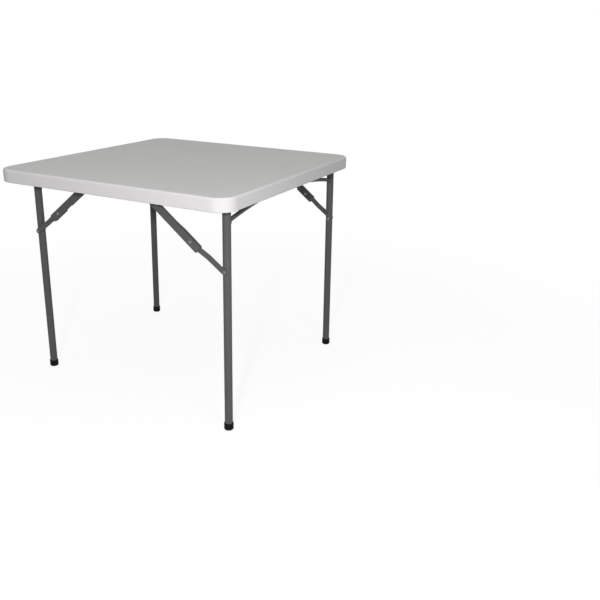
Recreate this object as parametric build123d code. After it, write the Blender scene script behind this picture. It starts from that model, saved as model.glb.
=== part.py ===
"""Square folding card table: a blow-moulded top, two tube leg frames and four folding braces.

The origin is on the floor under the centre of the top. The legs fold along X, Y runs across the
table and Z is up. The inner leg frame stands at -X and folds inside the outer one, which stands
at +X. Lengths are in millimetres.
"""
import os
from math import acos, atan2, cos, degrees, hypot, radians, sin, tan

from build123d import *

# Top: overall size and section
TOP_SIDE = 864.0
TABLE_HEIGHT = 737.0
CORNER_RADIUS = 55.0
TOP_EDGE_ROUND = 7.0
RIM_EDGE_ROUND = 3.0
RIM_DEPTH = 41.5
CHANNEL_SKIN = 14.0
SIDE_RIM_WIDTH = 18.5
END_RIM_WIDTH = 24.5

# Top: raised middle panel of the underside
PANEL_DROP = 21.0
PANEL_CORNER_RADIUS = 8.0
PANEL_END_BOW = 36.0
PANEL_EDGE_ROUND = 2.5
PANEL_TO_PIVOT = 45.0
PANEL_TO_INNER_LEG = 22.0

# Top: moulded pockets over the whole underside, every other column half a pitch along
POCKET_COLUMN_PITCH = 30.3
POCKET_ROW_PITCH = 44.5
POCKET_DRAFT_DEG = 16.0
POCKET_MARGIN = 6.0
PANEL_POCKET_LENGTH = 19.5
PANEL_POCKET_WIDTH = 14.5
PANEL_POCKET_DEPTH = 12.0
CHANNEL_POCKET_LENGTH = 13.0
CHANNEL_POCKET_WIDTH = 10.0
CHANNEL_POCKET_DEPTH = 4.0

# Top: stiffening notches in the inner walls of the rim
END_NOTCH_COUNT = 11
END_NOTCH_WIDTH = 36.0
END_NOTCH_DEPTH = 7.0
SIDE_NOTCH_COUNT = 17
SIDE_NOTCH_WIDTH = 26.0
SIDE_NOTCH_DEPTH = 6.5
NOTCH_FLARE = 4.0

# Side rails
RAIL_WIDTH = 24.0
RAIL_HEIGHT = 27.5
RAIL_WALL = 1.2
RAIL_EDGE_ROUND = 3.0
RAIL_TO_RIM = 1.5
RAIL_CAP_HEAD = 9.0
RAIL_CAP_ROUND = 8.5
RAIL_CAP_TUCK = 6.0

# Leg frames
PIVOT_SETBACK = 21.0
PIVOT_DROP = 16.0
PIVOT_TUBE_DIAMETER = 19.5
PIVOT_TUBE_WALL = 1.2
PIVOT_TUBE_TUCK = 14.0
LEG_DIAMETER = 25.0
LEG_WALL = 1.2
LEG_SPACING = 50.0
FOLD_SPLAY_DEG = 0.65
OUTER_SPREAD_DEG = 0.77
BOW_DIAMETER = 13.0
BOW_WALL = 1.2
INNER_BOW_DROP = 47.0
OUTER_BOW_DROP = 54.0

# Foot caps
FOOT_CAP_DIAMETER = 29.5
FOOT_CAP_HEIGHT = 23.0
FOOT_CAP_SOLE = 4.0
FOOT_CAP_ROUND = 4.0
FOOT_CAP_LIP = 1.0

# Folding braces: pivots and the lengths that follow from them
ANCHOR_TO_PIVOT = 256.5
RIVET_TO_PIVOT = 196.0
OVER_CENTRE_SLACK = 0.1

# Upper brace link: a channel, wide round the elbow and narrow towards its anchor
CHANNEL_DEPTH = 25.0
CHANNEL_WALL = 2.0
CHANNEL_WIDE = 11.0
CHANNEL_NARROW = 7.0
CHANNEL_OVERHANG = 35.0
CHANNEL_END_ROUND = 6.0
WIDE_REACH = 37.0
JOG_LENGTH = 33.0

# Lower brace link: a flat bar with one sideways jog, whose bends keep clear of the channel's
BAR_WIDTH = 17.0
BAR_THICKNESS = 3.0
BAR_JOG_CLEARANCE = 2.0

# Rivets
RIVET_DIAMETER = 6.0
RIVET_HEAD_DIAMETER = 11.0
RIVET_HEAD = 1.8
LEG_RIVET_HEAD = 2.0
RIVET_DOME = 1.3
LEG_WASHER = 1.0

# Brackets
BRACKET_THICKNESS = 2.0
OUTER_BRACKET_WIDTH = 26.0
OUTER_BRACKET_HEIGHT = 22.0
INNER_BRACKET_WIDTH = 28.0
INNER_BRACKET_THICKNESS = 2.4
EAR_END_RADIUS = 11.0
BRACKET_SCREW_TO_RAIL = 10.0

# Leg clips: their place is a share of the way from the long bracket to the folded leg's rivet
CLIP_PLACE_SHARE = 0.52
CLIP_LENGTH = 29.0
CLIP_JAW = 4.4
CLIP_BASE = 2.8
CLIP_JAW_HEIGHT = 20.0
CLIP_TIP_ROUND = 1.8

# Screws into the top
SCREW_DIAMETER = 4.0
SCREW_BITE = 10.0
SCREW_HEAD_DIAMETER = 9.0
SCREW_HEAD = 2.2
SCREW_HEAD_BEVEL = 0.8
RAIL_SCREW_COUNT = 3
RAIL_SCREW_PITCH = 300.0

# Clearances
SEAT_GAP = 0.05
RUNNING_FIT = 0.06
RUNNING_GAP = 0.3
CLIP_PLAY = 0.6
CUT_OVERRUN = 2.0

# Levels and places that follow from the sizes above
channel_ceiling = TABLE_HEIGHT - CHANNEL_SKIN
rim_bottom = TABLE_HEIGHT - RIM_DEPTH
panel_bottom = channel_ceiling - PANEL_DROP
recess_half_x = TOP_SIDE / 2 - END_RIM_WIDTH
recess_half_y = TOP_SIDE / 2 - SIDE_RIM_WIDTH
recess_corner_radius = RAIL_CAP_ROUND + RAIL_TO_RIM
rail_centre_y = recess_half_y - RAIL_TO_RIM - RAIL_WIDTH / 2
rail_inner_y = rail_centre_y - RAIL_WIDTH / 2
rail_end_x = recess_half_x - RAIL_TO_RIM
rail_half_length = rail_end_x - RAIL_CAP_HEAD
rail_middle_z = channel_ceiling - RAIL_HEIGHT / 2
pivot_x = rail_end_x - PIVOT_SETBACK
pivot_z = channel_ceiling - PIVOT_DROP
anchor_x = pivot_x - ANCHOR_TO_PIVOT
leg_radius = LEG_DIAMETER / 2
pivot_tube_radius = PIVOT_TUBE_DIAMETER / 2
rivet_radius = RIVET_DIAMETER / 2
clip_half_gap = leg_radius + CLIP_PLAY
clip_half_width = clip_half_gap + CLIP_JAW
bar_to_channel_face = CHANNEL_NARROW + RUNNING_GAP + LEG_RIVET_HEAD + BAR_THICKNESS

# Across the outer brace, from the rail inwards: bracket, channel, rivet head, bar, washer, leg
outer_channel_y = rail_inner_y - BRACKET_THICKNESS - RUNNING_GAP
leg_face_to_channel = bar_to_channel_face + RUNNING_GAP + LEG_WASHER
outer_spread = radians(OUTER_SPREAD_DEG)
outer_leg_y = outer_channel_y - leg_face_to_channel - leg_radius - RIVET_TO_PIVOT * sin(outer_spread)
inner_leg_y = outer_leg_y - LEG_SPACING
inner_channel_y = inner_leg_y + leg_radius + leg_face_to_channel
panel_half_y = inner_leg_y - PANEL_TO_INNER_LEG
panel_half_x = pivot_x - PANEL_TO_PIVOT

# Brace lengths: straight out past centre when the leg stands, folded on itself when it lies flat
fold_splay = radians(FOLD_SPLAY_DEG)
rivet_rest_x = pivot_x + RIVET_TO_PIVOT * sin(fold_splay)
rivet_rest_z = pivot_z - RIVET_TO_PIVOT * cos(fold_splay)
brace_reach = hypot(rivet_rest_x - anchor_x, rivet_rest_z - pivot_z)
brace_folded = ANCHOR_TO_PIVOT - RIVET_TO_PIVOT
upper_link = (brace_reach + OVER_CENTRE_SLACK + brace_folded) / 2
lower_link = (brace_reach + OVER_CENTRE_SLACK - brace_folded) / 2
reach_slope = atan2(pivot_z - rivet_rest_z, rivet_rest_x - anchor_x)
upper_cosine = (upper_link**2 + brace_reach**2 - lower_link**2) / (2 * upper_link * brace_reach)
upper_slope = reach_slope + acos(upper_cosine)
elbow_x = anchor_x + upper_link * cos(upper_slope)
elbow_z = pivot_z - upper_link * sin(upper_slope)
lower_slope = atan2(elbow_z - rivet_rest_z, rivet_rest_x - elbow_x)

OUTER, INNER = 1, -1
RIGHT, LEFT = 1, -1
SIDE_NAMES = {RIGHT: "right", LEFT: "left"}


def save(part, name):
    """Writes one sub-part as its own STEP file."""
    solids = part.solids()
    export_step(solids[0] if len(solids) == 1 else Compound(children=solids), f"parts/{name}.step")


def put(part, end, side=RIGHT):
    """Mirrors a piece that is modelled at +X, +Y to its own end and side of the table."""
    if end == INNER:
        part = mirror(part, about=Plane.YZ)
    if side == LEFT:
        part = mirror(part, about=Plane.XZ)
    return part


def cross_cylinder(radius, x, z, low_y, high_y):
    """A cylinder along Y from low_y to high_y."""
    where = Plane(origin=(x, low_y, z), x_dir=(1, 0, 0), z_dir=(0, 1, 0))
    return where * Cylinder(radius, high_y - low_y, align=(Align.CENTER, Align.CENTER, Align.MIN))


def block(low, high):
    """A box between two corners."""
    size = [b - a for a, b in zip(low, high)]
    centre = [(a + b) / 2 for a, b in zip(low, high)]
    return Pos(*centre) * Box(*size)


def rivet_head(radius, height, x, z, seat_y, outwards):
    """A domed head that stands off a face at seat_y, towards +Y or -Y."""
    where = Plane(origin=(x, seat_y, z), x_dir=(1, 0, 0), z_dir=(0, outwards, 0))
    head = Cylinder(radius, height, align=(Align.CENTER, Align.CENTER, Align.MIN))
    dome_radius = (radius**2 + RIVET_DOME**2) / (2 * RIVET_DOME)
    return where * (head & Pos(0, 0, height - dome_radius) * Sphere(dome_radius))


def screw(x, y, seat_z):
    """A pan-head screw driven upwards, its head under a face at seat_z and its tip in the top."""
    head = Cylinder(
        SCREW_HEAD_DIAMETER / 2, SCREW_HEAD, align=(Align.CENTER, Align.CENTER, Align.MAX)
    )
    head = chamfer(head.edges().group_by(Axis.Z)[0], SCREW_HEAD_BEVEL)
    length = channel_ceiling + SCREW_BITE - seat_z
    shank = Cylinder(SCREW_DIAMETER / 2, length, align=(Align.CENTER, Align.CENTER, Align.MIN))
    return Pos(x, y, seat_z) * (head + shank)


def screw_hole(x, y, low_z, high_z):
    """The hole that a screw's shank passes through."""
    return Pos(x, y, low_z) * Cylinder(
        SCREW_DIAMETER / 2 + SEAT_GAP, high_z - low_z, align=(Align.CENTER, Align.CENTER, Align.MIN)
    )


def rail_screw_places():
    """Where the screws go along one rail."""
    middle = (RAIL_SCREW_COUNT - 1) / 2
    return [(RAIL_SCREW_PITCH * (i - middle), rail_centre_y) for i in range(RAIL_SCREW_COUNT)]


def clip_place():
    """Where the outer leg lies across the clip when it is folded."""
    folded_rivet_x = pivot_x - RIVET_TO_PIVOT
    x = -anchor_x + CLIP_PLACE_SHARE * (folded_rivet_x + anchor_x)
    return x, outer_leg_y + (pivot_x - x) * tan(outer_spread)


def bracket_screw_place():
    """The screw through the long bracket, between the rail and the folded outer leg."""
    return -anchor_x, rail_inner_y - BRACKET_SCREW_TO_RAIL


def leg_direction(spread):
    """Down the leg from its pivot, at +X, +Y."""
    return Vector(tan(fold_splay), tan(spread), -1).normalized()


def leg_cylinder(radius, leg_y, spread, start, end):
    """A cylinder round a leg's axis between two distances from its pivot."""
    way = leg_direction(spread)
    where = Plane(origin=Vector(pivot_x, leg_y, pivot_z) + way * start, z_dir=way)
    return where * Cylinder(radius, end - start, align=(Align.CENTER, Align.CENTER, Align.MIN))


def notch(width, depth):
    """A flared notch in a rim wall, opening towards -X from a wall at the origin."""
    outline = Polyline(
        (-CUT_OVERRUN, -width / 2 - NOTCH_FLARE),
        (0, -width / 2 - NOTCH_FLARE),
        (depth, -width / 2),
        (depth, width / 2),
        (0, width / 2 + NOTCH_FLARE),
        (-CUT_OVERRUN, width / 2 + NOTCH_FLARE),
        close=True,
    )
    height = channel_ceiling - rim_bottom + CUT_OVERRUN
    return Pos(0, 0, rim_bottom - CUT_OVERRUN) * extrude(make_face(outline), height)


def panel_outline():
    """The raised panel seen from below: straight sides, and ends bowed like the bow tubes."""
    corner_x = panel_half_x - PANEL_END_BOW
    outline = [
        Line((-corner_x, panel_half_y), (corner_x, panel_half_y)),
        ThreePointArc((corner_x, panel_half_y), (panel_half_x, 0), (corner_x, -panel_half_y)),
        Line((corner_x, -panel_half_y), (-corner_x, -panel_half_y)),
        ThreePointArc((-corner_x, -panel_half_y), (-panel_half_x, 0), (-corner_x, panel_half_y)),
    ]
    face = make_face(outline)
    return fillet(face.vertices(), PANEL_CORNER_RADIUS)


def pocket(length, width, depth):
    """A pocket with drafted walls: its mouth is at the origin and its floor above."""
    flare = 2 * CUT_OVERRUN * tan(radians(POCKET_DRAFT_DEG))
    mouth = Rectangle(length + flare, width + flare)
    return Pos(0, 0, -CUT_OVERRUN) * extrude(mouth, depth + CUT_OVERRUN, taper=POCKET_DRAFT_DEG)


def pocket_places():
    """The staggered grid of pockets between the rails and between the ends of the recess."""
    reach_y = rail_inner_y - CHANNEL_POCKET_WIDTH / 2 - POCKET_MARGIN
    reach_x = recess_half_x - CHANNEL_POCKET_LENGTH / 2 - POCKET_MARGIN
    columns = int(reach_y // POCKET_COLUMN_PITCH)
    half_rows = int(2 * reach_x // POCKET_ROW_PITCH)
    for column in range(-columns, columns + 1):
        for half_row in range(-half_rows, half_rows + 1):
            if (column + half_row) % 2 == 0:
                yield half_row * POCKET_ROW_PITCH / 2, column * POCKET_COLUMN_PITCH


def is_in_panel(x, y):
    """Whether a pocket at x, y meets the raised panel, whose ends are bowed."""
    if abs(y) > panel_half_y:
        return False
    end = panel_half_x - PANEL_END_BOW * (y / panel_half_y) ** 2
    return abs(x) - PANEL_POCKET_LENGTH / 2 < end


def is_under_clip(x, y):
    """Whether a channel pocket at x, y would open behind a leg clip."""
    clip_x, clip_y = clip_place()
    reach_x = (CLIP_LENGTH + CHANNEL_POCKET_LENGTH) / 2
    reach_y = clip_half_width + CHANNEL_POCKET_WIDTH / 2
    return abs(x - clip_x) < reach_x and abs(abs(y) - clip_y) < reach_y


def pockets():
    """Every pocket of the underside, each sunk into the surface that it is on."""
    in_panel = pocket(PANEL_POCKET_LENGTH, PANEL_POCKET_WIDTH, PANEL_POCKET_DEPTH)
    in_channel = pocket(CHANNEL_POCKET_LENGTH, CHANNEL_POCKET_WIDTH, CHANNEL_POCKET_DEPTH)
    made = []
    for x, y in pocket_places():
        if is_in_panel(x, y):
            made.append(Pos(x, y, panel_bottom) * in_panel)
        elif not is_under_clip(x, y):
            made.append(Pos(x, y, channel_ceiling) * in_channel)
    return made


def tabletop():
    """The blow-moulded top: rim, leg channels, raised panel, pockets, and notches in the rim."""
    slab = extrude(RectangleRounded(TOP_SIDE, TOP_SIDE, CORNER_RADIUS), RIM_DEPTH)
    slab = fillet(slab.edges().group_by(Axis.Z)[-1], TOP_EDGE_ROUND)
    slab = fillet(slab.edges().group_by(Axis.Z)[0], RIM_EDGE_ROUND)
    slab = Pos(0, 0, rim_bottom) * slab
    recess = extrude(
        RectangleRounded(2 * recess_half_x, 2 * recess_half_y, recess_corner_radius),
        channel_ceiling - rim_bottom + CUT_OVERRUN,
    )
    slab -= Pos(0, 0, rim_bottom - CUT_OVERRUN) * recess
    panel = extrude(panel_outline(), PANEL_DROP + CUT_OVERRUN)
    panel = fillet(panel.edges().group_by(Axis.Z)[0], PANEL_EDGE_ROUND)
    slab += Pos(0, 0, panel_bottom) * panel
    cuts = pockets()
    end_pitch = 2 * recess_half_y / (END_NOTCH_COUNT + 1)
    side_pitch = 2 * recess_half_x / (SIDE_NOTCH_COUNT + 1)
    end_notch = notch(END_NOTCH_WIDTH, END_NOTCH_DEPTH)
    side_notch = notch(SIDE_NOTCH_WIDTH, SIDE_NOTCH_DEPTH)
    for turn in (0, 180):
        for i in range(END_NOTCH_COUNT):
            y = end_pitch * (i - (END_NOTCH_COUNT - 1) / 2)
            cuts.append(Rot(0, 0, turn) * Pos(recess_half_x, y, 0) * end_notch)
        for i in range(SIDE_NOTCH_COUNT):
            x = side_pitch * (i - (SIDE_NOTCH_COUNT - 1) / 2)
            cuts.append(Rot(0, 0, turn + 90) * Pos(recess_half_y, x, 0) * side_notch)
    top_of_bite = channel_ceiling + SCREW_BITE + SEAT_GAP
    places = rail_screw_places() + [clip_place(), bracket_screw_place()]
    for x, y in places:
        for side in (RIGHT, LEFT):
            cuts.append(screw_hole(x, side * y, channel_ceiling - CUT_OVERRUN, top_of_bite))
    return slab - cuts


def rail_section(inset):
    """The rail's section across the table, drawn in by inset on every side."""
    where = Plane(origin=(0, rail_centre_y, rail_middle_z), x_dir=(0, 1, 0), z_dir=(1, 0, 0))
    return where * RectangleRounded(
        RAIL_WIDTH - 2 * inset, RAIL_HEIGHT - 2 * inset, RAIL_EDGE_ROUND - inset
    )


def side_rail():
    """A rectangular tube with holes for the pivot tubes, the anchor rivet and its screws."""
    rail = extrude(rail_section(0) - rail_section(RAIL_WALL), rail_half_length, both=True)
    low, high = rail_inner_y - CUT_OVERRUN, rail_inner_y + RAIL_WALL + CUT_OVERRUN
    cuts = [
        cross_cylinder(pivot_tube_radius + RUNNING_FIT, x, pivot_z, low, high)
        for x in (-pivot_x, pivot_x)
    ]
    cuts.append(cross_cylinder(rivet_radius + SEAT_GAP, anchor_x, pivot_z, low, high))
    for x, y in rail_screw_places():
        cuts.append(
            screw_hole(x, y, channel_ceiling - RAIL_HEIGHT - CUT_OVERRUN, channel_ceiling + CUT_OVERRUN)
        )
    return rail - cuts


def rail_end_cap():
    """A rounded plug that closes the end of a rail, hollowed where the pivot tube turns."""
    head = block(
        (rail_half_length, rail_inner_y, channel_ceiling - RAIL_HEIGHT),
        (rail_end_x, rail_inner_y + RAIL_WIDTH, channel_ceiling),
    )
    head = fillet(head.edges().filter_by(Axis.Z).group_by(Axis.X)[-1], RAIL_CAP_ROUND)
    lower_edges = head.faces().sort_by(Axis.Z)[0].outer_wire().edges().sort_by(Axis.X)
    head = fillet(lower_edges[1:], RAIL_EDGE_ROUND)
    tongue = Pos(rail_half_length - RAIL_CAP_TUCK, 0, 0) * extrude(
        rail_section(RAIL_WALL + SEAT_GAP), RAIL_CAP_TUCK
    )
    relief = cross_cylinder(
        pivot_tube_radius + RUNNING_GAP,
        pivot_x,
        pivot_z,
        rail_inner_y,
        rail_inner_y + PIVOT_TUBE_TUCK + RUNNING_GAP,
    )
    return head + (tongue - relief)


def outer_bracket():
    """A plate on the rail's inner face that carries the outer brace's anchor."""
    low_x, high_x = anchor_x - OUTER_BRACKET_WIDTH / 2, anchor_x + OUTER_BRACKET_WIDTH / 2
    low_y, high_y = rail_inner_y - BRACKET_THICKNESS, rail_inner_y
    low_z, high_z = pivot_z - OUTER_BRACKET_HEIGHT / 2, pivot_z + OUTER_BRACKET_HEIGHT / 2
    plate = block((low_x, low_y, low_z), (high_x, high_y, high_z))
    plate = fillet(plate.edges().filter_by(Axis.Y), RAIL_EDGE_ROUND)
    return plate - cross_cylinder(
        rivet_radius + SEAT_GAP, anchor_x, pivot_z, low_y - CUT_OVERRUN, high_y + CUT_OVERRUN
    )


def ear_faces():
    """The two faces of the long bracket's ear, beside the inner brace's narrow channel."""
    outer_face = inner_channel_y - CHANNEL_NARROW - RUNNING_GAP
    return outer_face - BRACKET_THICKNESS, outer_face


def inner_bracket():
    """A strap across the leg channel, from the rail to an ear that carries the inner brace."""
    low_y, high_y = ear_faces()
    half = INNER_BRACKET_WIDTH / 2
    low_z, high_z = channel_ceiling - INNER_BRACKET_THICKNESS, channel_ceiling
    strap = block((anchor_x - half, low_y, low_z), (anchor_x + half, rail_inner_y, high_z))
    ear_outline = Polyline(
        (-half, high_z - pivot_z),
        (half, high_z - pivot_z),
        (EAR_END_RADIUS, 0),
        (-EAR_END_RADIUS, 0),
        close=True,
    )
    where = Plane(origin=(anchor_x, high_y, pivot_z), x_dir=(1, 0, 0), z_dir=(0, -1, 0))
    ear = where * extrude(make_face(ear_outline) + Circle(EAR_END_RADIUS), BRACKET_THICKNESS)
    hole = cross_cylinder(
        rivet_radius + SEAT_GAP, anchor_x, pivot_z, low_y - CUT_OVERRUN, high_y + CUT_OVERRUN
    )
    screw_x, screw_y = bracket_screw_place()
    screw_cut = screw_hole(-screw_x, screw_y, low_z - CUT_OVERRUN, high_z + CUT_OVERRUN)
    return strap + ear - hole - screw_cut


def outer_anchor_rivet():
    """Holds the outer brace's channel to its bracket and the rail's inner wall."""
    head_seat = outer_channel_y - CHANNEL_NARROW - RUNNING_GAP / 2
    tail_seat = rail_inner_y + RAIL_WALL + SEAT_GAP
    head_radius = RIVET_HEAD_DIAMETER / 2
    return (
        rivet_head(head_radius, RIVET_HEAD, anchor_x, pivot_z, head_seat, -1)
        + cross_cylinder(rivet_radius, anchor_x, pivot_z, head_seat, tail_seat)
        + rivet_head(head_radius, RIVET_HEAD, anchor_x, pivot_z, tail_seat, 1)
    )


def inner_anchor_rivet():
    """Holds the inner brace's channel to the long bracket's ear."""
    tail_seat = ear_faces()[0] - SEAT_GAP
    head_seat = inner_channel_y + RUNNING_GAP / 2
    head_radius = RIVET_HEAD_DIAMETER / 2
    return (
        rivet_head(head_radius, RIVET_HEAD, anchor_x, pivot_z, tail_seat, -1)
        + cross_cylinder(rivet_radius, anchor_x, pivot_z, tail_seat, head_seat)
        + rivet_head(head_radius, RIVET_HEAD, anchor_x, pivot_z, head_seat, 1)
    )


def leg_clip():
    """A moulded clip on the channel's ceiling that the folded outer leg is pressed into."""
    x, y = clip_place()
    clip = block(
        (x - CLIP_LENGTH / 2, y - clip_half_width, channel_ceiling - CLIP_JAW_HEIGHT),
        (x + CLIP_LENGTH / 2, y + clip_half_width, channel_ceiling),
    )
    clip -= block(
        (x - CLIP_LENGTH, y - clip_half_gap, channel_ceiling - 2 * CLIP_JAW_HEIGHT),
        (x + CLIP_LENGTH, y + clip_half_gap, channel_ceiling - CLIP_BASE),
    )
    tips = clip.edges().filter_by(Axis.X).group_by(Axis.Z)[0]
    clip = fillet(tips, CLIP_TIP_ROUND)
    return clip - clip_screw(SEAT_GAP)


def clip_screw(grow=0):
    """The countersunk screw through the clip's base, or with grow the hole it fills."""
    x, y = clip_place()
    radius = SCREW_DIAMETER / 2 + grow
    head_radius = SCREW_HEAD_DIAMETER / 2 + grow
    length = CLIP_BASE + SCREW_BITE
    shank = Cylinder(radius, length, align=(Align.CENTER, Align.CENTER, Align.MIN))
    head = Cone(
        head_radius, radius, head_radius - radius, align=(Align.CENTER, Align.CENTER, Align.MIN)
    )
    return Pos(x, y, channel_ceiling - CLIP_BASE) * (shank + head)


def pivot_tube():
    """The cross tube that turns in the rails and carries both legs."""
    half = rail_inner_y + PIVOT_TUBE_TUCK
    outside = cross_cylinder(pivot_tube_radius, pivot_x, pivot_z, -half, half)
    bore = cross_cylinder(pivot_tube_radius - PIVOT_TUBE_WALL, pivot_x, pivot_z, -half, half)
    return outside - bore


def leg(leg_y, spread):
    """A leg tube, rounded off over the pivot tube that passes through it."""
    length = (pivot_z - FOOT_CAP_SOLE) / -leg_direction(spread).Z
    tube = leg_cylinder(leg_radius, leg_y, spread, -leg_radius, length)
    tube -= leg_cylinder(leg_radius - LEG_WALL, leg_y, spread, -LEG_DIAMETER, length + CUT_OVERRUN)
    low_y, high_y = leg_y - LEG_DIAMETER, leg_y + LEG_DIAMETER
    crown = block(
        (pivot_x - LEG_DIAMETER, low_y, pivot_z), (pivot_x + LEG_DIAMETER, high_y, TABLE_HEIGHT)
    ) - cross_cylinder(leg_radius, pivot_x, pivot_z, low_y - CUT_OVERRUN, high_y + CUT_OVERRUN)
    tube -= crown
    tube -= cross_cylinder(pivot_tube_radius + SEAT_GAP, pivot_x, pivot_z, low_y, high_y)
    tube -= cross_cylinder(rivet_radius + SEAT_GAP, rivet_rest_x, rivet_rest_z, low_y, high_y + LEG_DIAMETER)
    return tube


def leg_rivet(leg_y, spread):
    """The leg's half of its brace joint: inner head, shank and the washer that faces the bar."""
    axis_y = leg_y + RIVET_TO_PIVOT * sin(spread)
    head_radius = RIVET_HEAD_DIAMETER / 2
    high_y = axis_y + leg_radius + LEG_WASHER
    x, z = rivet_rest_x, rivet_rest_z
    head = rivet_head(head_radius, leg_radius, x, z, axis_y - RIVET_HEAD, -1)
    washer = cross_cylinder(head_radius, x, z, axis_y, high_y)
    seat = leg_cylinder(leg_radius + SEAT_GAP, leg_y, spread, 0, 2 * RIVET_TO_PIVOT)
    shank = cross_cylinder(rivet_radius, x, z, axis_y - leg_radius, high_y)
    return (head + washer - seat) + shank


def bow_tube(leg_y, spread, drop):
    """The thin bowed tube: it touches the pivot tube in the middle and meets both legs."""
    crown = pivot_tube_radius + BOW_DIAMETER / 2 + SEAT_GAP
    end_y = leg_y + drop * tan(spread)
    down = Vector(sin(fold_splay), 0, -cos(fold_splay))
    pivot = Vector(pivot_x, 0, pivot_z)
    middle = pivot + down * crown
    ends = [pivot + down * drop + Vector(0, side * end_y, 0) for side in (LEFT, RIGHT)]
    path = ThreePointArc(ends[0], middle, ends[1])
    section = Plane(origin=path @ 0, z_dir=path % 0) * (
        Circle(BOW_DIAMETER / 2) - Circle(BOW_DIAMETER / 2 - BOW_WALL)
    )
    bow = sweep(section, path=path)
    for side in (RIGHT, LEFT):
        bow -= put(leg_cylinder(leg_radius + SEAT_GAP, leg_y, spread, 0, 2 * drop), OUTER, side)
    return bow


def foot_cap(leg_y, spread):
    """A moulded cup over the leg's end, with its sole cut flat on the floor."""
    way = leg_direction(spread)
    along = pivot_z / -way.Z
    floor_point = Vector(pivot_x, leg_y, pivot_z) + way * along
    radius = FOOT_CAP_DIAMETER / 2
    socket = leg_radius + SEAT_GAP
    sole = FOOT_CAP_SOLE / -way.Z
    flat = radius - FOOT_CAP_ROUND
    outline = [
        Line((0, -CUT_OVERRUN), (flat, -CUT_OVERRUN)),
        Line((flat, -CUT_OVERRUN), (flat, 0)),
        CenterArc((flat, FOOT_CAP_ROUND), FOOT_CAP_ROUND, 270, 90),
        Line((radius, FOOT_CAP_ROUND), (radius, FOOT_CAP_HEIGHT - FOOT_CAP_LIP)),
        Line((radius, FOOT_CAP_HEIGHT - FOOT_CAP_LIP), (radius - FOOT_CAP_LIP, FOOT_CAP_HEIGHT)),
        Line((radius - FOOT_CAP_LIP, FOOT_CAP_HEIGHT), (socket, FOOT_CAP_HEIGHT)),
        Line((socket, FOOT_CAP_HEIGHT), (socket, sole)),
        Line((socket, sole), (0, sole)),
        Line((0, sole), (0, -CUT_OVERRUN)),
    ]
    cup = revolve(Plane.XZ * make_face(outline), Axis.Z)
    cup = Plane(origin=floor_point, z_dir=-way) * cup
    around = Vector(FOOT_CAP_DIAMETER, FOOT_CAP_DIAMETER, 0)
    below = Vector(0, 0, -FOOT_CAP_DIAMETER)
    return cup - block(floor_point - around + below, floor_point + around)


def place_link(part, x, z, slope, face_y):
    """Moves a link from its own axes, with its first pivot at the origin, to its rest place."""
    return Pos(x, face_y, z) * Rot(0, degrees(slope), 0) * part


def upper_channel(face_y):
    """The upper link: a channel open below, tapering narrower where the folded bar leaves it."""
    half = CHANNEL_DEPTH / 2
    step = upper_link - WIDE_REACH
    jog = step - JOG_LENGTH
    tip = upper_link + CHANNEL_OVERHANG
    side = make_face(Polyline((0, -half), (tip, -half), (tip, half), (0, half), close=True))
    corners = side.vertices().group_by(Axis.X)[-1]
    side = fillet(corners, CHANNEL_END_ROUND) + Circle(half)
    side = Plane(origin=(0, 0, 0), x_dir=(1, 0, 0), z_dir=(0, -1, 0)) * side
    over = half + CUT_OVERRUN
    plan = Polyline(
        (-over, 0),
        (-over, -CHANNEL_NARROW),
        (jog, -CHANNEL_NARROW),
        (step, -CHANNEL_WIDE),
        (tip, -CHANNEL_WIDE),
        (tip, 0),
        close=True,
    )
    channel = extrude(side, CHANNEL_WIDE) & Pos(0, 0, -over) * extrude(make_face(plan), 2 * over)
    under_web = half - CHANNEL_WALL
    narrow_cut = block(
        (-over, CHANNEL_WALL - CHANNEL_NARROW, -over), (jog, -CHANNEL_WALL, under_web)
    )
    jog_cut = block((jog, -CHANNEL_WIDE, -over), (step, -CHANNEL_WALL, under_web))
    wide_cut = block(
        (step, CHANNEL_WALL - CHANNEL_WIDE, -over), (tip + over, -CHANNEL_WALL, under_web)
    )
    channel = channel - narrow_cut - jog_cut - wide_cut
    for x in (0, upper_link):
        gap = SEAT_GAP if x else RUNNING_FIT
        channel -= cross_cylinder(rivet_radius + gap, x, 0, -CHANNEL_WIDE - CUT_OVERRUN, CUT_OVERRUN)
    return place_link(channel, anchor_x, pivot_z, upper_slope, face_y)


def elbow_rivet(face_y):
    """Joins the two links: heads on both sides of the channel and a shank through the bar."""
    head_radius = RIVET_HEAD_DIAMETER / 2
    far = -CHANNEL_WIDE - SEAT_GAP
    rivet = (
        rivet_head(head_radius, RIVET_HEAD, 0, 0, SEAT_GAP, 1)
        + cross_cylinder(rivet_radius, 0, 0, far, SEAT_GAP)
        + rivet_head(head_radius, RIVET_HEAD, 0, 0, far, -1)
    )
    return place_link(rivet, elbow_x, elbow_z, upper_slope, face_y)


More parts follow.
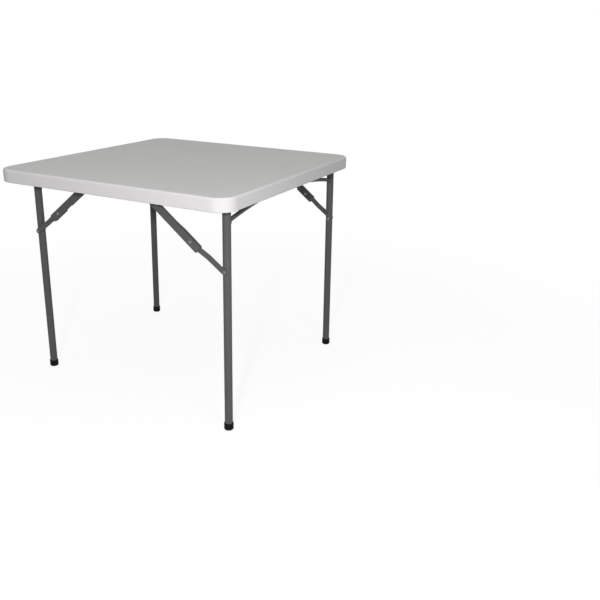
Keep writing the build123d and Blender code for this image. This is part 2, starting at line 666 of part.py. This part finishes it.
def lower_bar(face_y):
    """The lower link: a flat bar inside the channel at the elbow, jogged out beside the leg."""
    half = BAR_WIDTH / 2
    inside = -CHANNEL_WIDE / 2 + BAR_THICKNESS / 2
    beside = -bar_to_channel_face + BAR_THICKNESS
    jog_start = WIDE_REACH + BAR_JOG_CLEARANCE
    jog_end = WIDE_REACH + JOG_LENGTH - BAR_JOG_CLEARANCE
    tip = lower_link + half
    edge = [(-half, inside), (jog_start, inside), (jog_end, beside), (tip, beside)]
    back = [(x, y - BAR_THICKNESS) for x, y in reversed(edge)]
    plan = Pos(0, 0, -half) * extrude(make_face(Polyline(*edge, *back, close=True)), BAR_WIDTH)
    side = SlotCenterToCenter(lower_link, BAR_WIDTH)
    side = Plane(origin=(lower_link / 2, 0, 0), x_dir=(1, 0, 0), z_dir=(0, -1, 0)) * side
    bar = plan & extrude(side, bar_to_channel_face + CUT_OVERRUN)
    for x, gap in ((0, RUNNING_FIT), (lower_link, SEAT_GAP)):
        bar -= cross_cylinder(rivet_radius + gap, x, 0, -bar_to_channel_face - CUT_OVERRUN, 0)
    return place_link(bar, elbow_x, elbow_z, lower_slope, face_y)


def bar_rivet(face_y):
    """The bar's half of the leg joint: its outer head, and a shank that ends at the bar's face."""
    seat = -bar_to_channel_face + BAR_THICKNESS
    height = LEG_RIVET_HEAD
    rivet = rivet_head(RIVET_HEAD_DIAMETER / 2, height, lower_link, 0, seat, 1) + cross_cylinder(
        rivet_radius, lower_link, 0, -bar_to_channel_face, seat
    )
    return place_link(rivet, elbow_x, elbow_z, lower_slope, face_y)


def group(parts):
    """Several separate solids that share one node."""
    return Compound(children=[solid for part in parts for solid in part.solids()])


os.makedirs("parts", exist_ok=True)

save(tabletop(), "tabletop")
rail = side_rail()
rail_cap = rail_end_cap()
strap = inner_bracket()
plate = outer_bracket()
clip = leg_clip()
for side, side_name in SIDE_NAMES.items():
    save(put(rail, OUTER, side), f"side_rail_{side_name}")
    save(put(strap, INNER, side), f"inner_brace_bracket_{side_name}")
    save(put(plate, OUTER, side), f"outer_brace_bracket_{side_name}")
    save(put(clip, OUTER, side), f"leg_clip_{side_name}")
ends_and_sides = [(end, side) for end in (OUTER, INNER) for side in (RIGHT, LEFT)]
save(group(put(rail_cap, end, side) for end, side in ends_and_sides), "rail_end_caps")
rail_seat = channel_ceiling - RAIL_HEIGHT
rail_screws = [screw(x, side * y, rail_seat) for x, y in rail_screw_places() for side in (RIGHT, LEFT)]
save(group(rail_screws), "rail_screws")
strap_seat = channel_ceiling - INNER_BRACKET_THICKNESS
strap_x, strap_y = bracket_screw_place()
save(group(screw(strap_x, side * strap_y, strap_seat) for side in (RIGHT, LEFT)), "bracket_screws")
save(group(put(clip_screw(), OUTER, side) for side in (RIGHT, LEFT)), "leg_clip_screws")
save(group(put(outer_anchor_rivet(), OUTER, side) for side in (RIGHT, LEFT)), "outer_anchor_rivets")
save(group(put(inner_anchor_rivet(), INNER, side) for side in (RIGHT, LEFT)), "inner_anchor_rivets")

frames = (
    ("outer", OUTER, outer_leg_y, outer_spread, OUTER_BOW_DROP, outer_channel_y),
    ("inner", INNER, inner_leg_y, 0.0, INNER_BOW_DROP, inner_channel_y),
)
for name, end, leg_y, spread, bow_drop, channel_y in frames:
    save(put(pivot_tube(), end), f"{name}_pivot_tube")
    save(put(bow_tube(leg_y, spread, bow_drop), end), f"{name}_bow_tube")
    pieces = {
        "leg": leg(leg_y, spread),
        "foot_cap": foot_cap(leg_y, spread),
        "leg_rivet": leg_rivet(leg_y, spread),
        "upper_brace": upper_channel(channel_y),
        "elbow_rivet": elbow_rivet(channel_y),
        "lower_brace": lower_bar(channel_y),
        "lower_brace_rivet": bar_rivet(channel_y),
    }
    for piece_name, piece in pieces.items():
        for side, side_name in SIDE_NAMES.items():
            save(put(piece, end, side), f"{name}_{piece_name}_{side_name}")

fold_deg = 90 + FOLD_SPLAY_DEG
upper_deg = degrees(upper_slope)
lower_deg = 180 - degrees(lower_slope) + upper_deg
print("pivot", pivot_x, pivot_z, "anchor", anchor_x, "elbow", elbow_x, elbow_z)
print("links", upper_link, lower_link, "leg y", outer_leg_y, inner_leg_y)
print("fold", fold_deg, "upper turn", upper_deg, upper_deg / fold_deg)
print("lower turn", lower_deg, lower_deg / fold_deg)
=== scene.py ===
"""Dresses the folding card table: moulded top, painted tube legs, folding braces and plated hardware."""
from math import cos, hypot, pi, radians, sin, sqrt

import bpy
from mathutils import Matrix, Vector


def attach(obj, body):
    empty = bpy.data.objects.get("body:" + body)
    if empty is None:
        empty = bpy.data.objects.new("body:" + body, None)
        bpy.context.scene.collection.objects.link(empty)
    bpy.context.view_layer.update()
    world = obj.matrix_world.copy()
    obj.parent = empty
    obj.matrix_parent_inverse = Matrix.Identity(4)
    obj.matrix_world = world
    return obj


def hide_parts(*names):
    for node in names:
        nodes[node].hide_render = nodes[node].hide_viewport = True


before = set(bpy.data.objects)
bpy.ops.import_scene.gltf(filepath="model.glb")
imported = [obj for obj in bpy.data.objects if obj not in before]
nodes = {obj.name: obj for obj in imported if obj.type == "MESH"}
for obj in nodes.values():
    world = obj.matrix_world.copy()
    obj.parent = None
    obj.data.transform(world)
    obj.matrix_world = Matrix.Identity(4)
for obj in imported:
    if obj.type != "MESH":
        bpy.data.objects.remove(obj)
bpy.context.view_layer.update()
MM = 0.001


# Tabletop. One blow-moulded panel of pale grey polyethylene. The mould leaves a pebble on the upper
# face and a finer skin on the rim and underside, and the plastic clouds where its wall thickness varies.
PLASTIC_GREY = (0.595, 0.590, 0.592)
PLASTIC_CLOUD = (0.560, 0.557, 0.556)
PLASTIC_ROUGHNESS = (0.82, 0.94)
PLASTIC_SPECULAR = 0.08
CLOUD_SCALE = 7.0
CLOUD_DETAIL = 4.0
PEBBLE_SCALE = 620.0
PEBBLE_HEIGHT = 0.10 * MM
SIDE_GRAIN_SHARE = 0.30
FACES_UP = (0.80, 0.97)
GRAIN_INPUTS = {
    "Grain Scale": "NodeSocketFloat",
    "Cloud Scale": "NodeSocketFloat",
    "Base": "NodeSocketColor",
    "Cloud Colour": "NodeSocketColor",
    "Low Roughness": "NodeSocketFloat",
    "High Roughness": "NodeSocketFloat",
}
GRAIN_OUTPUTS = {
    "Colour": "NodeSocketColor",
    "Roughness": "NodeSocketFloat",
    "Grain": "NodeSocketFloat",
}


def grain_group():
    """Grain: an even field of small bumps. Cloud: slow patches that shift colour and gloss."""
    group = bpy.data.node_groups.new("surface_grain", "ShaderNodeTree")
    for name, kind in GRAIN_INPUTS.items():
        group.interface.new_socket(name, in_out="INPUT", socket_type=kind)
    for name, kind in GRAIN_OUTPUTS.items():
        group.interface.new_socket(name, in_out="OUTPUT", socket_type=kind)
    made, wire = group.nodes, group.links.new
    given, out = made.new("NodeGroupInput"), made.new("NodeGroupOutput")
    where = made.new("ShaderNodeTexCoord")
    grain = made.new("ShaderNodeTexVoronoi")
    grain.feature = "SMOOTH_F1"
    wire(where.outputs["Object"], grain.inputs["Vector"])
    wire(given.outputs["Grain Scale"], grain.inputs["Scale"])
    cloud = made.new("ShaderNodeTexNoise")
    cloud.inputs["Detail"].default_value = CLOUD_DETAIL
    wire(where.outputs["Object"], cloud.inputs["Vector"])
    wire(given.outputs["Cloud Scale"], cloud.inputs["Scale"])
    shade = made.new("ShaderNodeMix")
    shade.data_type = "RGBA"
    wire(cloud.outputs["Fac"], shade.inputs["Factor"])
    wire(given.outputs["Base"], shade.inputs["A"])
    wire(given.outputs["Cloud Colour"], shade.inputs["B"])
    gloss = made.new("ShaderNodeMapRange")
    wire(cloud.outputs["Fac"], gloss.inputs["Value"])
    wire(given.outputs["Low Roughness"], gloss.inputs["To Min"])
    wire(given.outputs["High Roughness"], gloss.inputs["To Max"])
    wire(shade.outputs["Result"], out.inputs["Colour"])
    wire(gloss.outputs["Result"], out.inputs["Roughness"])
    wire(grain.outputs["Distance"], out.inputs["Grain"])
    return group


surface_grain = grain_group()


def grained_material(name, base, cloud, grain_scale, grain_height, cloud_scale, roughness):
    """A finish that takes its colour, gloss and fine bumps from the shared grain."""
    material = bpy.data.materials.new(name)
    material.use_nodes = True
    made, wire = material.node_tree.nodes, material.node_tree.links.new
    shader = made["Principled BSDF"]
    grain = made.new("ShaderNodeGroup")
    grain.node_tree = surface_grain
    grain.inputs["Grain Scale"].default_value = grain_scale
    grain.inputs["Cloud Scale"].default_value = cloud_scale
    grain.inputs["Base"].default_value = (*base, 1)
    grain.inputs["Cloud Colour"].default_value = (*cloud, 1)
    grain.inputs["Low Roughness"].default_value, grain.inputs["High Roughness"].default_value = roughness
    bump = made.new("ShaderNodeBump")
    bump.inputs["Distance"].default_value = grain_height
    wire(grain.outputs["Grain"], bump.inputs["Height"])
    wire(grain.outputs["Colour"], shader.inputs["Base Color"])
    wire(grain.outputs["Roughness"], shader.inputs["Roughness"])
    wire(bump.outputs["Normal"], shader.inputs["Normal"])
    return material


def set_shader(material, socket, value):
    """Sets one plain value of a finish on its shader."""
    material.node_tree.nodes["Principled BSDF"].inputs[socket].default_value = value


def worked_out(made, wire, operation, first, second):
    """The result of one maths node on two outputs."""
    node = made.new("ShaderNodeMath")
    node.operation = operation
    wire(first, node.inputs[0])
    wire(second, node.inputs[1])
    return node.outputs[0]


def fine_grain_on_sides(material, share):
    """Weakens the grain wherever a face doesn't look straight up."""
    made, wire = material.node_tree.nodes, material.node_tree.links.new
    face = made.new("ShaderNodeNewGeometry")
    split = made.new("ShaderNodeSeparateXYZ")
    mask = made.new("ShaderNodeMapRange")
    mask.inputs["From Min"].default_value, mask.inputs["From Max"].default_value = FACES_UP
    mask.inputs["To Min"].default_value = share
    wire(face.outputs["Normal"], split.inputs[0])
    wire(split.outputs["Z"], mask.inputs["Value"])
    height = worked_out(made, wire, "MULTIPLY", made["Group"].outputs["Grain"], mask.outputs["Result"])
    wire(height, made["Bump"].inputs["Height"])


def paint(material, *names):
    """Puts one finish on CAD nodes."""
    for name in names:
        for place in nodes[name].material_slots:
            place.material = material


top_plastic = grained_material(
    "top_plastic",
    PLASTIC_GREY,
    PLASTIC_CLOUD,
    PEBBLE_SCALE,
    PEBBLE_HEIGHT,
    CLOUD_SCALE,
    PLASTIC_ROUGHNESS,
)
set_shader(top_plastic, "Specular IOR Level", PLASTIC_SPECULAR)
fine_grain_on_sides(top_plastic, SIDE_GRAIN_SHARE)
paint(top_plastic, "tabletop")


# Steel: rails, leg frames, braces and brackets. Thin-walled tube and pressed strip, sprayed with a
# dark grey powder coat that dries into a fine hammered skin.
PAINT_GREY = (0.090, 0.087, 0.087)
PAINT_CLOUD = (0.079, 0.077, 0.076)
PAINT_ROUGHNESS = (0.42, 0.54)
PAINT_SPECULAR = 0.12
PAINT_CLOUD_SCALE = 22.0
HAMMER_SCALE = 480.0
HAMMER_HEIGHT = 0.12 * MM
SIDES = ("left", "right")
ENDS = ("inner", "outer")

painted_steel = grained_material(
    "painted_steel",
    PAINT_GREY,
    PAINT_CLOUD,
    HAMMER_SCALE,
    HAMMER_HEIGHT,
    PAINT_CLOUD_SCALE,
    PAINT_ROUGHNESS,
)
set_shader(painted_steel, "Specular IOR Level", PAINT_SPECULAR)
for side in SIDES:
    paint(painted_steel, f"side_rail_{side}")
    for end in ENDS:
        paint(painted_steel, f"{end}_leg_{side}", f"{end}_brace_bracket_{side}")
        paint(painted_steel, f"{end}_upper_brace_{side}", f"{end}_lower_brace_{side}")
for end in ENDS:
    paint(painted_steel, f"{end}_pivot_tube", f"{end}_bow_tube")


# Plated hardware. Rivets join the braces to each other, to their brackets and to the legs, and
# screws hold the clips. All are zinc-plated steel, slightly mottled by the bright dip.
ZINC = (0.23, 0.23, 0.235)
ZINC_MOTTLE = (0.15, 0.15, 0.15)
ZINC_ROUGHNESS = (0.32, 0.46)
ZINC_MOTTLE_SCALE = 160.0
ZINC_GRAIN_SCALE = 900.0
ZINC_GRAIN_HEIGHT = 0.03 * MM

zinc = grained_material(
    "zinc",
    ZINC,
    ZINC_MOTTLE,
    ZINC_GRAIN_SCALE,
    ZINC_GRAIN_HEIGHT,
    ZINC_MOTTLE_SCALE,
    ZINC_ROUGHNESS,
)
set_shader(zinc, "Metallic", 1.0)
paint(zinc, "leg_clip_screws", "outer_anchor_rivets", "inner_anchor_rivets")
for end in ENDS:
    for side in SIDES:
        for piece in ("leg_rivet", "elbow_rivet", "lower_brace_rivet"):
            paint(zinc, f"{end}_{piece}_{side}")


# Weld beads. Each leg tube is welded to the cross tube that runs through it, and the bowed tube to
# both legs. The beads are short rippled fillets of weld metal, sprayed with the frame.
PIVOT_X, PIVOT_Z = 385 * MM, 707 * MM
PIVOT_RADIUS = 9.75 * MM
LEG_RADIUS = 12.5 * MM
LEG_SPLAY = radians(0.65)
BOW_RADIUS = 6.5 * MM
LEG_Y = {"outer": 356.966 * MM, "inner": 306.966 * MM}
BOW_DROP = {"outer": 54 * MM, "inner": 47 * MM}
FRAME_SIDE = {"outer": 1, "inner": -1}
BEAD_RADIUS = 1.7 * MM
BEAD_SINK = 0.5 * MM
BEAD_RIPPLE = 0.35 * MM
BEAD_STEPS = 48
BEAD_EDGES = 8
RIPPLE_EVERY = 3


def only(*pieces):
    """Selects these pieces and nothing else, with the first one active."""
    bpy.ops.object.select_all(action="DESELECT")
    for piece in pieces:
        piece.select_set(True)
    bpy.context.view_layer.objects.active = pieces[0]


def pick(piece, test):
    """Opens a piece in edit mode with only the points that pass the test selected."""
    only(piece)
    bpy.ops.object.mode_set(mode="EDIT")
    bpy.ops.mesh.select_mode(type="VERT")
    bpy.ops.mesh.select_all(action="DESELECT")
    bpy.ops.object.mode_set(mode="OBJECT")
    for point in piece.data.vertices:
        point.select = bool(test(point.co))
    bpy.ops.object.mode_set(mode="EDIT")


def settle(piece):
    """Puts a piece's place and turn into its own mesh."""
    only(piece)
    bpy.ops.object.transform_apply(location=True, rotation=True, scale=True)


def copy_of(piece, name, turn, place):
    """Another piece with its own mesh, turned about the origin and then moved."""
    twin = piece.copy()
    twin.data = piece.data.copy()
    twin.name = name
    bpy.context.scene.collection.objects.link(twin)
    twin.matrix_world = Matrix.Translation(place) @ turn
    settle(twin)
    return twin


def joined(pieces, name, material):
    """Several pieces made one, with one finish."""
    only(*pieces)
    bpy.ops.object.join()
    whole = bpy.context.object
    whole.name = name
    whole.data.materials.append(material)
    return whole


def ring_bead(name, tube_radius):
    """A rippled fillet round a tube along Y where it meets a leg tube, whose side falls away."""
    bpy.ops.object.select_all(action="DESELECT")
    bpy.ops.mesh.primitive_torus_add(
        major_radius=tube_radius + BEAD_RADIUS - BEAD_SINK,
        minor_radius=BEAD_RADIUS,
        major_segments=BEAD_STEPS,
        minor_segments=BEAD_EDGES,
        rotation=(pi / 2, 0, 0),
    )
    bead = bpy.context.object
    bead.name = name
    settle(bead)
    step = 2 * pi / BEAD_STEPS
    for number in range(BEAD_STEPS):
        angle = number * step
        across, up = cos(angle), sin(angle)
        to_leg_side = sqrt(LEG_RADIUS**2 - (tube_radius * across) ** 2)
        pick(bead, lambda co: co.x * across + co.z * up > cos(step / 2) * hypot(co.x, co.z))
        bpy.ops.transform.translate(value=(0, to_leg_side, 0))
        if number % RIPPLE_EVERY == 0:
            bpy.ops.transform.shrink_fatten(value=BEAD_RIPPLE)
        bpy.ops.object.mode_set(mode="OBJECT")
    only(bead)
    bpy.ops.object.shade_smooth()
    return bead


pivot_bead = ring_bead("pivot_bead", PIVOT_RADIUS)
bow_bead = ring_bead("bow_bead", BOW_RADIUS)
as_made, turned_round = Matrix.Rotation(0, 4, "Z"), Matrix.Rotation(pi, 4, "Z")
for end, sign in FRAME_SIDE.items():
    beads = []
    for y_sign in (-1, 1):
        leg_place = Vector((sign * PIVOT_X, y_sign * LEG_Y[end], PIVOT_Z))
        beads.append(copy_of(pivot_bead, f"{end}_bead", turned_round, leg_place))
        beads.append(copy_of(pivot_bead, f"{end}_bead", as_made, leg_place))
        inwards = turned_round if y_sign > 0 else as_made
        bow_place = leg_place + Vector((sign * BOW_DROP[end] * sin(LEG_SPLAY), 0, -BOW_DROP[end]))
        beads.append(copy_of(bow_bead, f"{end}_bead", inwards, bow_place))
    welds = joined(beads, f"{end}_welds", painted_steel)
    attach(welds, f"{end}_leg_frame")
for pattern in (pivot_bead, bow_bead):
    bpy.data.objects.remove(pattern)


# Screws. Pan-head screws with a cross recess hold the rails and the long brackets up to the top.
# Those in the rails are sprayed with the rails, those in the brackets are zinc-plated.
HEAD_RADIUS, HEAD_HEIGHT = 4.5 * MM, 2.2 * MM
HEAD_ROUND, HEAD_ROUND_STEPS = 1.3 * MM, 4
SHANK_RADIUS = 2 * MM
SCREW_SIDES = 32
SEAT_TOLERANCE = 0.02 * MM
SMOOTH_BELOW = radians(35)
RECESS_REACH, RECESS_WIDTH, RECESS_DEPTH = 3.0 * MM, 1.35 * MM, 1.5 * MM
RECESS_TAPER = 0.45
RAIL_SCREWS_X, RAIL_SCREWS_Y = (-300 * MM, 0, 300 * MM), 400 * MM
STRAP_SCREW_X, STRAP_SCREW_Y = -128.5 * MM, 378 * MM
RAIL_SEAT, STRAP_SEAT, SCREW_TIP = 695.5 * MM, 720.6 * MM, 733 * MM


def recess_blade(turn):
    """One wing of the cross, wide at the head's face and narrow at its floor."""
    bpy.ops.object.select_all(action="DESELECT")
    bpy.ops.mesh.primitive_cube_add(size=1, location=(0, 0, -HEAD_HEIGHT))
    blade = bpy.context.object
    blade.scale = (2 * RECESS_REACH, RECESS_WIDTH, 2 * RECESS_DEPTH)
    blade.rotation_euler.z = turn
    settle(blade)
    pick(blade, lambda co: co.z > -HEAD_HEIGHT)
    bpy.ops.transform.resize(value=(RECESS_TAPER, RECESS_TAPER, 1), center_override=(0, 0, 0))
    bpy.ops.object.mode_set(mode="OBJECT")
    return blade


def pan_head_screw():
    """A screw that points up, with its seat at the origin: domed head, cross recess and shank."""
    bpy.ops.object.select_all(action="DESELECT")
    bpy.ops.mesh.primitive_cylinder_add(
        vertices=SCREW_SIDES, radius=HEAD_RADIUS, depth=HEAD_HEIGHT, location=(0, 0, -HEAD_HEIGHT / 2)
    )
    screw = bpy.context.object
    settle(screw)
    pick(screw, lambda co: co.z < -HEAD_HEIGHT / 2)
    bpy.ops.mesh.bevel(offset=HEAD_ROUND, segments=HEAD_ROUND_STEPS, affect="EDGES")
    bpy.ops.object.mode_set(mode="OBJECT")
    for turn in (0, pi / 2):
        blade = recess_blade(turn)
        cut = screw.modifiers.new("recess", "BOOLEAN")
        cut.operation = "DIFFERENCE"
        cut.solver = "EXACT"
        cut.object = blade
        only(screw)
        bpy.ops.object.modifier_apply(modifier="recess")
        bpy.data.objects.remove(blade)
    pick(screw, lambda co: co.z > -SEAT_TOLERANCE)
    bpy.ops.mesh.select_mode(type="FACE")
    bpy.ops.mesh.inset(thickness=HEAD_RADIUS - SHANK_RADIUS)
    bpy.ops.mesh.extrude_region_move(TRANSFORM_OT_translate={"value": (0, 0, HEAD_HEIGHT)})
    bpy.ops.object.mode_set(mode="OBJECT")
    only(screw)
    bpy.ops.object.shade_smooth_by_angle(angle=SMOOTH_BELOW)
    return screw


def screw_row(name, places, seat, material):
    """The screws of one node, each a copy whose shank is drawn out to its own tip."""
    row = []
    for x, y in places:
        twin = copy_of(master_screw, name, Matrix.Identity(4), Vector((x, y, seat)))
        pick(twin, lambda co: co.z > seat + HEAD_HEIGHT / 2)
        bpy.ops.transform.translate(value=(0, 0, SCREW_TIP - seat - HEAD_HEIGHT))
        bpy.ops.object.mode_set(mode="OBJECT")
        row.append(twin)
    return joined(row, name, material)


master_screw = pan_head_screw()
rail_places = [(x, y_sign * RAIL_SCREWS_Y) for x in RAIL_SCREWS_X for y_sign in (-1, 1)]
rail_screws = screw_row("crosshead_rail_screws", rail_places, RAIL_SEAT, painted_steel)
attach(rail_screws, "root")
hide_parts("rail_screws")
strap_places = [(STRAP_SCREW_X, y_sign * STRAP_SCREW_Y) for y_sign in (-1, 1)]
strap_screws = screw_row("crosshead_strap_screws", strap_places, STRAP_SEAT, zinc)
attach(strap_screws, "root")
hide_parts("bracket_screws")
bpy.data.objects.remove(master_screw)


# Black plastic. The foot caps are soft moulded cups pushed over the legs, and the rail end caps and
# the leg clips are a harder moulding, pushed into the rails and screwed to the top. All are matt.
FOOT_BLACK = (0.005, 0.005, 0.005)
FOOT_DUST = (0.009, 0.009, 0.008)
FOOT_ROUGHNESS = (0.55, 0.70)
FOOT_SPECULAR = 0.06
CLIP_BLACK = (0.014, 0.014, 0.015)
CLIP_CLOUD = (0.020, 0.020, 0.021)
CLIP_ROUGHNESS = (0.36, 0.50)
MOULD_CLOUD_SCALE = 60.0
MOULD_GRAIN_SCALE = 1100.0
MOULD_GRAIN_HEIGHT = 0.05 * MM

foot_plastic = grained_material(
    "foot_plastic",
    FOOT_BLACK,
    FOOT_DUST,
    MOULD_GRAIN_SCALE,
    MOULD_GRAIN_HEIGHT,
    MOULD_CLOUD_SCALE,
    FOOT_ROUGHNESS,
)
black_plastic = grained_material(
    "black_plastic",
    CLIP_BLACK,
    CLIP_CLOUD,
    MOULD_GRAIN_SCALE,
    MOULD_GRAIN_HEIGHT,
    MOULD_CLOUD_SCALE,
    CLIP_ROUGHNESS,
)
set_shader(foot_plastic, "Specular IOR Level", FOOT_SPECULAR)
for end in ENDS:
    paint(foot_plastic, f"{end}_foot_cap_left", f"{end}_foot_cap_right")
paint(black_plastic, "rail_end_caps", "leg_clip_left", "leg_clip_right")


# Floor: a plain white studio floor that fades into the background all round. It keeps a faint
# shadow of the table, and it isn't drawn from below, so that the underside can be looked at.
WHITE = (1, 1, 1, 1)
FLOOR_SIZE = 60.0
FLOOR_BOUNCE = 0.36
FLOOR_SHADOW_SHARE = 0.12
FLOOR_FADE_START, FLOOR_FADE_END = 1.0, 2.4


def meets_white(made, wire, path):
    """1 for the rays that meet plain white: those from the camera, off gloss or through glass."""
    mask = path.outputs["Is Camera Ray"]
    for ray in ("Is Glossy Ray", "Is Transmission Ray"):
        mask = worked_out(made, wire, "MAXIMUM", mask, path.outputs[ray])
    return mask


bpy.ops.object.select_all(action="DESELECT")
bpy.ops.mesh.primitive_plane_add(size=FLOOR_SIZE)
floor = bpy.context.object
floor.name = "studio_floor"
floor_paint = bpy.data.materials.new("studio_floor")
floor_paint.use_nodes = True
made, wire = floor_paint.node_tree.nodes, floor_paint.node_tree.links.new
set_shader(floor_paint, "Roughness", 1.0)
set_shader(floor_paint, "Specular IOR Level", 0.0)
matt = made["Principled BSDF"]
path = made.new("ShaderNodeLightPath")
face_tone = made.new("ShaderNodeMix")
face_tone.data_type = "RGBA"
face_tone.inputs["A"].default_value = (FLOOR_BOUNCE, FLOOR_BOUNCE, FLOOR_BOUNCE, 1)
face_tone.inputs["B"].default_value = WHITE
wire(path.outputs["Is Camera Ray"], face_tone.inputs["Factor"])
wire(face_tone.outputs["Result"], matt.inputs["Base Color"])
where = made.new("ShaderNodeTexCoord")
distance = made.new("ShaderNodeVectorMath")
distance.operation = "LENGTH"
wire(where.outputs["Object"], distance.inputs[0])
fade = made.new("ShaderNodeMapRange")
fade.interpolation_type = "SMOOTHSTEP"
fade.inputs["From Min"].default_value = FLOOR_FADE_START
fade.inputs["From Max"].default_value = FLOOR_FADE_END
fade.inputs["To Min"].default_value = 1 - FLOOR_SHADOW_SHARE
wire(distance.outputs["Value"], fade.inputs["Value"])
white_share = worked_out(made, wire, "MULTIPLY", meets_white(made, wire, path), fade.outputs["Result"])
white = made.new("ShaderNodeEmission")
blend = made.new("ShaderNodeMixShader")
wire(white_share, blend.inputs[0])
wire(matt.outputs[0], blend.inputs[1])
wire(white.outputs[0], blend.inputs[2])
face = made.new("ShaderNodeNewGeometry")
from_below = worked_out(made, wire, "MULTIPLY", face.outputs["Backfacing"], path.outputs["Is Camera Ray"])
clear = made.new("ShaderNodeBsdfTransparent")
drawn = made.new("ShaderNodeMixShader")
wire(from_below, drawn.inputs[0])
wire(blend.outputs[0], drawn.inputs[1])
wire(clear.outputs[0], drawn.inputs[2])
wire(drawn.outputs[0], made["Material Output"].inputs["Surface"])
floor.data.materials.append(floor_paint)


# Light: a sky that is brightest overhead, a small strong lamp just behind and above the camera, which
# puts the rim's shadow on the leg tops, a weak one low at the right, and a panel for the far sides.
# Each lamp has its place and its width in metres, its power in watts and its colour.
SKY_LEVEL = 0.20
SKY_OVERHEAD = 0.77
SKY_TINT = (0.985, 1.0, 0.975)
LAMPS = {
    "front_lamp": ((1.20, -2.40, 1.44), 0.16, 42.8, (1.0, 0.965, 0.985)),
    "side_lamp": ((1.51, -1.05, 0.83), 0.50, 8.8, (0.985, 0.98, 1.0)),
    "back_panel": ((-2.6, 2.9, 0.75), 1.4, 34.0, (1.0, 1.0, 1.0)),
}
AIM = Vector((0, 0, 0.5))

world = bpy.data.worlds.new("studio_sky")
bpy.context.scene.world = world
world.use_nodes = True
made, wire = world.node_tree.nodes, world.node_tree.links.new
where = made.new("ShaderNodeTexCoord")
split = made.new("ShaderNodeSeparateXYZ")
wire(where.outputs["Generated"], split.inputs[0])
height_squared = worked_out(made, wire, "MULTIPLY", split.outputs["Z"], split.outputs["Z"])
level_of_sky = made.new("ShaderNodeMath")
level_of_sky.operation = "MULTIPLY_ADD"
level_of_sky.inputs[1].default_value = SKY_OVERHEAD
level_of_sky.inputs[2].default_value = SKY_LEVEL
wire(height_squared, level_of_sky.inputs[0])
sky = made["Background"]
sky.inputs["Color"].default_value = (*SKY_TINT, 1)
wire(level_of_sky.outputs[0], sky.inputs["Strength"])
behind = made.new("ShaderNodeBackground")
behind.inputs["Color"].default_value = WHITE
blend = made.new("ShaderNodeMixShader")
path = made.new("ShaderNodeLightPath")
wire(meets_white(made, wire, path), blend.inputs[0])
wire(sky.outputs[0], blend.inputs[1])
wire(behind.outputs[0], blend.inputs[2])
wire(blend.outputs[0], made["World Output"].inputs["Surface"])

for name, (place, size, power, colour) in LAMPS.items():
    lamp = bpy.data.lights.new(name, "AREA")
    lamp.size = size
    lamp.energy = power
    lamp.color = colour
    panel = bpy.data.objects.new(name, lamp)
    panel.location = place
    panel.rotation_mode = "QUATERNION"
    panel.rotation_quaternion = (Vector(place) - AIM).to_track_quat("Z", "Y")
    panel.visible_camera = False
    panel.visible_glossy = name == "front_lamp"
    bpy.context.scene.collection.objects.link(panel)


# Camera: a little above the top, at the near corner of the outer leg frame. Its place, turn and
# focal length come from lines and feet measured in the photograph.
IMAGE_SIZE = 600
SENSOR = 36.0
CAMERA_PLACE = (1.3750, -1.9490, 1.1411)
CAMERA_YAW, CAMERA_PITCH, CAMERA_ROLL = radians(118.10), radians(19.95), radians(0.80)
FOCAL_PIXELS = 690.7
CENTRE_PIXEL = (270.0, 287.5)

forward = Vector(
    (cos(CAMERA_YAW) * cos(CAMERA_PITCH), sin(CAMERA_YAW) * cos(CAMERA_PITCH), -sin(CAMERA_PITCH))
)
level = Vector((sin(CAMERA_YAW), -cos(CAMERA_YAW), 0))
upright = level.cross(forward)
across = cos(CAMERA_ROLL) * level + sin(CAMERA_ROLL) * upright
upwards = cos(CAMERA_ROLL) * upright - sin(CAMERA_ROLL) * level
turn = Matrix((across, upwards, -forward)).transposed().to_4x4()
lens = bpy.data.cameras.new("photo_camera")
lens.sensor_width = SENSOR
lens.lens = FOCAL_PIXELS * SENSOR / IMAGE_SIZE
lens.shift_x = (IMAGE_SIZE / 2 - CENTRE_PIXEL[0]) / IMAGE_SIZE
lens.shift_y = (CENTRE_PIXEL[1] - IMAGE_SIZE / 2) / IMAGE_SIZE
camera = bpy.data.objects.new("photo_camera", lens)
camera.matrix_world = Matrix.Translation(CAMERA_PLACE) @ turn
bpy.context.scene.collection.objects.link(camera)
bpy.context.scene.camera = camera
bpy.context.scene.view_settings.view_transform = "Standard"
